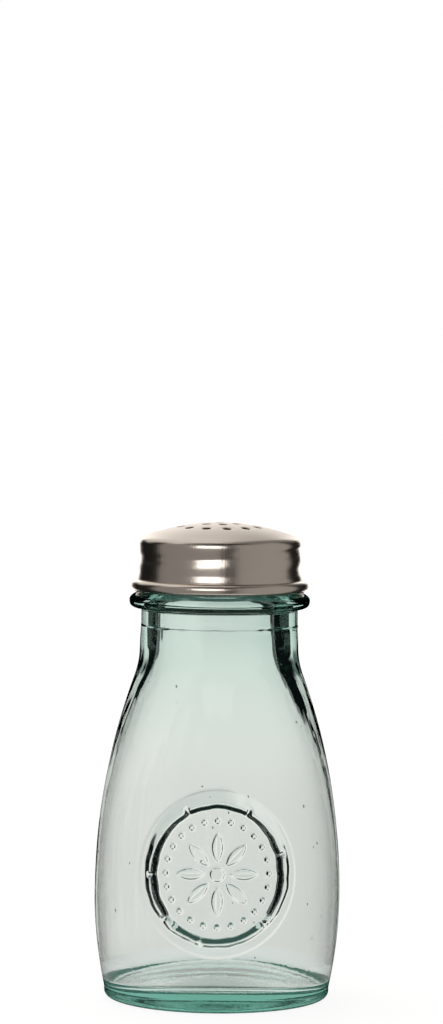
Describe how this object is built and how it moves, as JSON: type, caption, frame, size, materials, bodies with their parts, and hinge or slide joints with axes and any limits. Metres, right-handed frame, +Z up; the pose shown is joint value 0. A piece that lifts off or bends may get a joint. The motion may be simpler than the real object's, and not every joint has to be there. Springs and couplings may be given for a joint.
{
  "type": "parmesan shaker",
  "caption": "Round-bellied glass jar with a collared neck and a moulded medallion, closed by a domed, perforated steel screw cap for sprinkling grated cheese.",
  "frame": {"origin": "middle of the foot, on the surface that the jar stands on", "axes": "+Z up along the jar's axis; the medallion faces -Y"},
  "size_m": [0.074, 0.075, 0.143],
  "materials": {
    "recycled_glass": "clear pale green glass with faint waves and small seeds",
    "stainless_sheet": "satin dome, bright rolled side",
    "soft_seal": "matt, translucent white"
  },
  "bodies": {
    "jar": {"glass_jar": "recycled_glass"},
    "seal": {"seal_ring": "soft_seal"},
    "cap": {"shaker_cap": "stainless_sheet"}
  },
  "joints": [
    {"name": "cap_lift", "type": "slide", "parent": "jar", "child": "seal", "axis": [0, 0, 1], "range_m": [0, 0.0169]},
    {"name": "cap_turn", "type": "hinge", "parent": "seal", "child": "cap", "pos_m": [0, 0, 0.13], "axis": [0, 0, 1], "range_deg": [0, 1080]}
  ],
  "couplings": [
    {"joint": "cap_lift", "follows": "cap_turn", "m_per_rad": 0.00089127}
  ]
}
